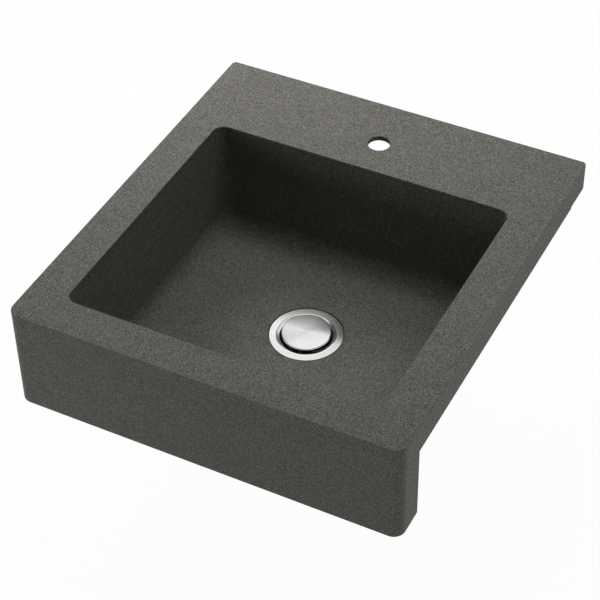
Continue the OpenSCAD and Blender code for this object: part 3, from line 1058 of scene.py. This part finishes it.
def six_sided(name: str, across: float, low: float, high: float, bore: float) -> Piece:
    """Makes a nut's six-sided form with turned chamfers.

    Args:
        name: the new object's name.
        across: its width across the flats, in millimetres.
        low: its lower face's height, from the drain's ring.
        high: its upper face's height.
        bore: the radius of its hole, or zero.

    Returns:
        The object.
    """
    corner = across / 2 / math.cos(math.radians(30))
    middle = DRAIN + Vector((0, 0, (low + high) / 2)) * MM
    piece = start(name)
    with editing(piece):
        bpy.ops.mesh.primitive_cylinder_add(
            vertices=6, radius=corner * MM, depth=(high - low) * MM, location=middle
        )
        bpy.ops.transform.rotate(
            value=math.radians(30), orient_axis="Z", center_override=middle
        )
    drop = (corner - across / 2) * 0.7
    merge(piece, Merge.KEEP, turned("chamfer", [
        (0, low - 0.01), (across / 2 - 0.1, low - 0.01), (corner + 0.1, low + drop),
        (corner + 0.1, high - drop), (across / 2 - 0.1, high + 0.01), (0, high + 0.01),
    ], steps=60))
    if bore:
        merge(piece, Merge.CUT, turned("bore", [
            (0, low - 1), (bore + 0.6, low - 1), (bore + 0.6, low - 0.01), (bore, low + 0.5),
            (bore, high - 0.5), (bore + 0.6, high + 0.01), (bore + 0.6, high + 1), (0, high + 1),
        ], steps=54))
    return piece


@dataclass
class DrainBody:
    """The waste's flanged cup with its seat, threads, seal and strainer."""

    flange_r: float = 57
    flange_t: float = 1.6
    mouth_r: float = 43.9
    mouth_rise: float = 0.12
    mouth_h: float = 6
    bore_r: float = 36
    core_r: float = 41
    thread_r: float = 42
    shoulder_r: float = 45.7
    shoulder_z: float = -8.75
    ledge_r: float = 33.5
    outlet_r: float = 22.5
    outlet_bore_r: float = 19.5
    outlet_z: float = -71
    seal_z: float = -3.1
    seal_in: float = 46.7
    plate_r: float = 35.8
    plate_low: float = -41
    plate_high: float = -38.5
    hub_r: float = 10
    hub_low: float = -49.5
    hub_high: float = -35.5
    hub_bore_r: float = 7.1
    slots: int = 10
    slot_w: float = 6
    slot_in: float = 15.5
    slot_out: float = 30.3

    def cup(self) -> Piece:
        """Turns the flanged cup and adds its two threads."""
        body = turned("waste_body", [
            (self.flange_r, 0, 0.5), (self.flange_r, -self.flange_t, 0.3),
            (self.shoulder_r, -self.flange_t, 0.4), (self.shoulder_r, self.shoulder_z, 0.5),
            (self.core_r, -12.5), (self.core_r, -54.5, 2), (self.outlet_r, -57.5, 2),
            (self.outlet_r, self.outlet_z, 0.4), (self.outlet_bore_r, self.outlet_z, 0.4),
            (self.outlet_bore_r, -55, 1.5), (self.ledge_r, -52, 0.5),
            (self.ledge_r, self.plate_low, 0.2), (self.bore_r, self.plate_low, 0.2),
            (self.bore_r, -11.5, 0.8), (self.mouth_r - 3.9, -self.mouth_h, 0.5),
            (self.mouth_r - 3.5, -2.4, 0.4), (self.mouth_r - 2.8, -1.25, 0.3),
            (self.mouth_r - 0.3, -0.85, 0.15), (self.mouth_r, self.mouth_rise - 0.22, 0.2),
            (self.mouth_r + 1.4, self.mouth_rise, 0.6), (self.mouth_r + 2.4, -0.42, 0.5),
        ], steps=128)
        merge(body, Merge.ADD, threaded("cup_thread", self.thread_r, 1, 3.2, -47, -12.4))
        merge(body, Merge.ADD, threaded(
            "outlet_thread", self.outlet_r + 1, 1, 2.2, self.outlet_z, -58, 54
        ))
        return body

    def strainer(self) -> Piece:
        """Turns the strainer plate with its hub and cuts its slots."""
        plate = turned("strainer", [
            (self.plate_r, self.plate_low, 0.3), (self.plate_r, self.plate_high, 0.5),
            (self.hub_r, self.plate_high, 0.8), (self.hub_r, self.hub_high, 0.5),
            (self.hub_bore_r, self.hub_high, 0.3), (self.hub_bore_r, self.hub_low, 0.3),
            (self.hub_r, self.hub_low, 0.4), (self.hub_r, self.plate_low, 0.8),
        ])
        half = self.slot_w / 2
        slot = lofted("slot", [
            Loop(
                RING_Z + z, half, (self.slot_out - self.slot_in) / 2 + half, half * 0.998,
                half * 0.998, DRAIN_Y + (self.slot_out + self.slot_in) / 2,
            ) for z in (self.plate_low - 2, self.plate_high + 2)
        ], steps=8)
        merge(plate, Merge.CUT, *repeated(slot, self.slots))
        return plate

    def build(self, finishes: Finishes) -> None:
        """Builds the cup, its seal and its strainer and dresses them."""
        finishes.place(self.cup(), "sink", "polished_steel", "drain_body")
        seal = washer(
            "flange_gasket", self.flange_r - 0.2, self.seal_in, self.seal_z, -self.flange_t, 0.5
        )
        finishes.place(seal, "sink", "black_rubber", "flange_seal")
        finishes.place(self.strainer(), "sink", "brushed_steel", "strainer_plate")


@dataclass
class Clamp:
    """The washers and the lugged nut that hold the cup under the bowl."""

    top_z: float = -14.6
    rubber_t: float = 5
    fibre_t: float = 1
    nut_h: float = 13
    outer_r: float = 54
    bore_r: float = 42.1
    barrel_r: float = 48
    rim_h: float = 4
    lugs: int = 8
    lug_w: float = 12
    lug_out: float = 2.5

    def nut(self, high: float) -> Piece:
        """Turns the nut and adds its grip lugs.

        Args:
            high: its upper face's height.

        Returns:
            The nut.
        """
        low, rim = high - self.nut_h, high - self.rim_h
        nut = turned("clamp_nut", [
            (self.outer_r, high, 0.6), (self.bore_r + 0.8, high), (self.bore_r, high - 0.8),
            (self.bore_r, low + 0.8), (self.bore_r + 0.8, low), (self.barrel_r, low, 0.8),
            (self.barrel_r, rim, 1.2), (self.outer_r, rim, 0.8),
        ])
        lug = block(
            "lug", (self.barrel_r - 3, DRAIN_Y - self.lug_w / 2, RING_Z + low + 0.3),
            (self.outer_r + self.lug_out, DRAIN_Y + self.lug_w / 2, RING_Z + high - 1), 1.1,
        )
        merge(nut, Merge.ADD, *repeated(lug, self.lugs))
        return nut

    def build(self, finishes: Finishes) -> None:
        """Builds the clamp and dresses it."""
        low = self.top_z - self.rubber_t
        rubber = washer("clamp_rubber", self.outer_r, self.bore_r, low, self.top_z, 0.6)
        finishes.place(rubber, "sink", "black_rubber", "under_washer")
        fibre = washer(
            "clamp_fibre", self.outer_r - 0.4, self.bore_r, low - self.fibre_t, low, 0.15
        )
        finishes.place(fibre, "sink", "fibre", "fibre_washer")
        finishes.place(self.nut(low - self.fibre_t), "sink", "cast_zinc", "lock_nut", edge=35)


@dataclass
class Outlet:
    """The tailpiece with its washer and coupling nut."""

    neck_z: float = -71
    washer_t: float = 2
    flange_t: float = 2
    flange_r: float = 22.5
    tube_r: float = 19.05
    tube_t: float = 1.6
    tube_l: float = 102
    collar_h: float = 6
    collar_t: float = 0.6
    nut_r: float = 27
    nut_bore_r: float = 23.6
    nut_top_z: float = -61.4
    nut_low_z: float = -78
    grips: int = 16
    grip_r: float = 2

    def tube(self) -> Piece:
        """Turns the tailpiece."""
        top = self.neck_z - self.washer_t
        low = top - self.tube_l
        under = top - self.flange_t
        inner = self.tube_r - self.tube_t
        collar_r = self.tube_r + self.collar_t
        return turned("tail_tube", [
            (self.flange_r, top, 0.4), (inner, top, 0.4), (inner, low, 0.4),
            (self.tube_r, low, 0.5), (self.tube_r, under - self.collar_h - 1.2, 0.5),
            (collar_r, under - self.collar_h, 0.4), (collar_r, under, 0.5),
            (self.flange_r, under, 0.4),
        ])

    def nut(self) -> Piece:
        """Turns the coupling nut and adds its grip ribs."""
        hole_r = self.tube_r + self.collar_t + 0.1
        shoulder_z = self.nut_low_z + 3
        nut = turned("tail_coupling", [
            (self.nut_r, self.nut_top_z, 0.6), (self.nut_bore_r, self.nut_top_z, 0.4),
            (self.nut_bore_r, shoulder_z, 0.3), (hole_r, shoulder_z, 0.3),
            (hole_r, self.nut_low_z, 0.4), (self.nut_r, self.nut_low_z, 1.0),
        ])
        base = DRAIN + Vector((self.nut_r, 0, 0)) * MM
        grip = turned("grip", [
            (0, self.nut_low_z + 0.5), (self.grip_r, self.nut_low_z + 0.5, 0.9),
            (self.grip_r, self.nut_top_z - 2, 0.9), (0, self.nut_top_z - 2),
        ], steps=20, ease=3, base=base)
        merge(nut, Merge.ADD, *repeated(grip, self.grips))
        return nut

    def build(self, finishes: Finishes) -> None:
        """Builds the outlet and dresses it."""
        ring = washer(
            "tail_ring", self.flange_r, self.tube_r - self.tube_t + 0.2,
            self.neck_z - self.washer_t, self.neck_z, 0.3,
        )
        finishes.place(ring, "sink", "white_washer", "tail_washer")
        finishes.place(self.tube(), "sink", "white_plastic", "tailpiece")
        finishes.place(self.nut(), "sink", "white_plastic", "tail_nut")


@dataclass
class Stopper:
    """The raised cap with its seal, keeper plate, stem and nut."""

    cap_r: float = 38.3
    lift: float = 5.8
    crown: float = 0.4
    skirt: float = 2.8
    sheet: float = 1.2
    edge_r: float = 1.7
    boss_r: float = 7
    seal_r: float = 36.9
    seal_in: float = 24.9
    seal_top: float = 3.9
    seal_low: float = -1.8
    keeper_r: float = 32.9
    keeper_z: float = -3
    stem_r: float = 3
    stem_low: float = -18.7
    stem_top: float = 4.1
    nut_af: float = 10
    nut_z: float = -5.5

    def dome(self, radius: float, drop: float = 0.0) -> float:
        """The dome's height at a radius."""
        dome_r = (self.cap_r ** 2 + self.crown ** 2) / (2 * self.crown)
        return self.lift + self.crown - drop - dome_r + math.sqrt(dome_r ** 2 - radius ** 2)

    def cap(self) -> Piece:
        """Turns the domed cap with its boss."""
        rings = 10
        outside = [
            (self.cap_r * n / rings, self.dome(self.cap_r * n / rings)) for n in range(rings)
        ]
        low = self.lift - self.skirt
        inner_r = self.cap_r - self.sheet
        return turned("stopper_dome", [
            *outside, (self.cap_r, self.lift, self.edge_r), (self.cap_r, low, 0.4),
            (inner_r, low, 0.4), (inner_r, self.lift - self.sheet, 0.8),
            (self.boss_r, self.dome(self.boss_r, self.sheet), 0.6),
            (self.boss_r, self.seal_low, 0.4), (self.stem_r + 0.1, self.seal_low, 0.2),
            (self.stem_r + 0.1, self.lift - 1), (0, self.lift - 1),
        ], steps=128, ease=6)

    def stem(self) -> Piece:
        """Turns the stem and adds its thread."""
        core = self.stem_r - 0.4
        stem = turned("stopper_rod", [
            (0, self.stem_low), (core, self.stem_low, 0.3), (core, self.stem_top, 0.4),
            (0, self.stem_top),
        ], steps=32)
        merge(stem, Merge.ADD, threaded(
            "rod_thread", self.stem_r, 0.4, 1.0, self.stem_low + 0.4, self.stem_top - 0.3, 32
        ))
        return stem

    def build(self, finishes: Finishes) -> None:
        """Builds the stopper and dresses it."""
        finishes.place(self.cap(), "stopper", "turned_steel", "stopper_cap", edge=35)
        seal = turned("stopper_ring", [
            (self.seal_in, self.seal_top, 0.4), (self.seal_in, self.seal_low, 0.4),
            (self.seal_r - 1.2, self.seal_low, 0.8), (self.seal_r, self.seal_low + 1.2, 0.8),
            (self.seal_r, self.seal_top, 0.4),
        ])
        finishes.place(seal, "stopper", "black_rubber", "stopper_seal")
        keeper = washer(
            "keeper_disc", self.keeper_r, self.stem_r + 0.1, self.keeper_z, self.seal_low, 0.3
        )
        finishes.place(keeper, "stopper", "brushed_steel", "seal_keeper")
        finishes.place(self.stem(), "stopper", "brushed_steel", "stopper_stem")
        nut = six_sided("rod_nut", self.nut_af, self.nut_z, self.keeper_z, self.stem_r + 0.1)
        finishes.place(nut, "stopper", "brushed_steel", "stem_nut", edge=30)


@dataclass
class PushLock:
    """The push lock's barrel, plug, O-ring and spring; plunger and cam keep their CAD solids."""

    barrel_r: float = 8
    thread_r: float = 7
    bore_r: float = 5.5
    top_z: float = -15.5
    roof_z: float = -18.5
    collar_z: float = -35.5
    collar_h: float = 3
    collar_af: float = 17
    low_z: float = -52
    hole_r: float = 4.13
    ring_z: float = -17
    ring_t: float = 1.2
    plug_t: float = 2.5
    spring_r: float = 3.81
    wire_r: float = 0.4
    spring_low: float = -49.3
    spring_top: float = -31.5
    curls: int = 7
    travel: float = 9.5

    def barrel(self) -> Piece:
        """Turns the barrel and adds its collar and thread."""
        barrel = turned("lock_housing", [
            (self.barrel_r, self.top_z, 0.8), (self.hole_r, self.top_z, 0.3),
            (self.hole_r, self.roof_z),
            (self.bore_r, self.roof_z, 0.2), (self.bore_r, self.low_z, 0.3),
            (self.thread_r - 0.5, self.low_z, 0.4), (self.thread_r - 0.5, self.collar_z, 0.1),
            (self.barrel_r, self.collar_z),
        ], steps=64)
        merge(barrel, Merge.ADD, six_sided(
            "collar", self.collar_af, self.collar_z, self.collar_z + self.collar_h,
            self.barrel_r - 0.6,
        ))
        merge(barrel, Merge.ADD, threaded(
            "housing_thread", self.thread_r, 0.5, 1.5, self.low_z + 0.2, self.collar_z - 0.2, 48
        ))
        return barrel

    def spring(self) -> Piece:
        """Winds the spring from a round wire."""
        height = self.spring_top - self.spring_low - 2 * self.wire_r
        spring = start("lock_coil")
        base = Vector((self.spring_r, 0, self.spring_low + self.wire_r)) * MM
        with editing(spring):
            bpy.ops.mesh.primitive_circle_add(
                vertices=12, radius=self.wire_r * MM, fill_type="NOTHING", location=base,
                rotation=(math.pi / 2, 0, 0),
            )
        wind(spring, self.curls, height, 32, 12)
        return spring

    def build(self, finishes: Finishes) -> None:
        """Builds the lock and dresses it."""
        finishes.place(self.barrel(), "sink", "brass", "lock_barrel", edge=32)
        plug = turned("lock_stopper", [
            (0, self.low_z), (self.bore_r - 0.05, self.low_z, 0.4),
            (self.bore_r - 0.05, self.low_z + self.plug_t, 0.4), (0, self.low_z + self.plug_t),
        ], steps=48)
        finishes.place(plug, "sink", "brass", "lock_plug")
        half = self.ring_t / 2
        middle = self.hole_r + half
        ring = turned("lock_ring", [
            (middle + half * math.cos(t), self.ring_z + half * math.sin(t))
            for t in (math.tau * n / 16 for n in range(16))
        ], steps=48)
        finishes.place(ring, "sink", "black_rubber", "o_ring", edge=60)
        spring = self.spring()
        finishes.place(spring, "sink", "spring_steel", "lock_spring", edge=50)
        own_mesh(spring)
        for node in ("lock_plunger", "lock_rotor"):
            finishes.dress(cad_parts[node], "acetal")


@dataclass
class Studio:
    """The camera, lamps, floor and backdrop."""

    centre: Place = (0.96009982, -2.19648961, 1.83625872)
    azimuth: float = 27.6824
    elevation: float = 42.4737
    roll: float = -1.1035
    lens: float = 113.2007
    floor_z: float = -0.3170
    floor_white: float = 0.975
    aim: Place = (0, -0.34, -0.05)
    card_at: Place = (-0.91, 0.41, 0.61)

    def camera(self) -> None:
        """Puts the camera where the photograph was taken from."""
        az, el, roll = (math.radians(v) for v in (self.azimuth, self.elevation, self.roll))
        back = Vector((math.sin(az) * math.cos(el), -math.cos(az) * math.cos(el), math.sin(el)))
        level = Vector((math.cos(az), math.sin(az), 0))
        over = back.cross(level)
        right = math.cos(roll) * level + math.sin(roll) * over
        up = math.cos(roll) * over - math.sin(roll) * level
        turn = Matrix((right, up, back)).transposed().to_4x4()
        bpy.ops.object.camera_add(location=(0, 0, 0))
        camera = bpy.context.object
        camera.matrix_world = Matrix.Translation(self.centre) @ turn
        camera.data.lens = self.lens
        camera.data.sensor_width = 36
        camera.data.clip_start = 0.05
        bpy.context.scene.camera = camera

    def lamp(self, name: str, at: Place, size: tuple[float, float], power: float) -> None:
        """Adds a soft lamp that faces the sink.

        Args:
            name: its name.
            at: its place.
            size: its width and height.
            power: its power in watts.
        """
        aim = Vector(at) - Vector(self.aim)
        bpy.ops.object.light_add(type="AREA", location=at)
        lamp = bpy.context.object
        lamp.name = name
        lamp.rotation_euler = aim.to_track_quat("Z", "Y").to_euler()
        lamp.data.shape = "RECTANGLE"
        lamp.data.size, lamp.data.size_y = size
        lamp.data.energy = power
        lamp.visible_glossy = False
        lamp.visible_camera = False

    def world(self) -> None:
        """Makes surroundings that look white and shed no light."""
        world = bpy.data.worlds.new("studio")
        bpy.context.scene.world = world
        bench = bench_for(world)
        sky = bench.add("Background", {"Color": WHITE, "Strength": bench.seen()})
        bench.add("OutputWorld", {"Surface": sky.outputs[0]})

    def stage(self, piece: Piece, name: str) -> Bench:
        """Makes a piece part of the studio.

        Args:
            piece: the object.
            name: its name and its material's.

        Returns:
            The bench for its material.
        """
        piece.name = name
        material = bpy.data.materials.new(name)
        piece.data.materials.append(material)
        return bench_for(material)

    def floor(self) -> None:
        """Lays a pale floor that shows as white and keeps a faint shadow."""
        bpy.ops.mesh.primitive_circle_add(
            vertices=64, radius=6, fill_type="NGON", location=(0, 0, self.floor_z)
        )
        bench = self.stage(bpy.context.object, "studio_floor")
        paint = bench.add("BsdfDiffuse", {"Color": (0.9, 0.9, 0.9, 1)}).outputs[0]
        glow = bench.add("Emission", {"Color": WHITE, "Strength": 1.0}).outputs[0]
        share = bench.math("MULTIPLY", bench.seen(), self.floor_white)
        both = bench.add("MixShader", {0: share, 1: paint, 2: glow}).outputs[0]
        bench.add("OutputMaterial", {"Surface": both})

    def black_card(self) -> None:
        """Stands a black card beside the sink that only bright metal shows."""
        at = Vector(self.card_at)
        bpy.ops.mesh.primitive_plane_add(
            size=1, location=at, rotation=(at - DRAIN).to_track_quat("Z", "Y").to_euler()
        )
        card = bpy.context.object
        card.scale = (0.5, 1.0, 1)
        card.visible_camera = card.visible_diffuse = False
        card.visible_transmission = card.visible_shadow = False
        bench = self.stage(card, "studio_card")
        black = bench.add("Emission", {"Color": (0, 0, 0, 1), "Strength": 0.0}).outputs[0]
        bench.add("OutputMaterial", {"Surface": black})

    def build(self) -> None:
        """Sets up the whole studio."""
        bpy.context.scene.view_settings.view_transform = "Standard"
        self.camera()
        self.lamp("overhead", (-0.3, 0.1, 1.5), (0.5, 0.5), 8.4)
        self.lamp("rear_left", (-1.0, 0.6, 0.9), (0.6, 0.6), 17.6)
        self.lamp("rear_right", (1.1, 0.1, 1.6), (0.8, 0.8), 5.6)
        self.lamp("front_low", (-1.2, -3.2, 0.1), (1.5, 0.7), 17.4)
        self.lamp("right_low", (1.8, -0.9, -0.1), (1.0, 0.3), 2.9)
        self.world()
        self.floor()
        self.black_card()


def main() -> None:
    """Builds the sink piece by piece."""
    logging.basicConfig(level=logging.INFO, format="%(name)s: %(message)s")
    finishes = Finishes()
    Studio().build()
    Basin().build(finishes)
    for part in (DrainBody(), Clamp(), Outlet(), Stopper(), PushLock()):
        part.build(finishes)


if __name__ == "__main__":
    main()
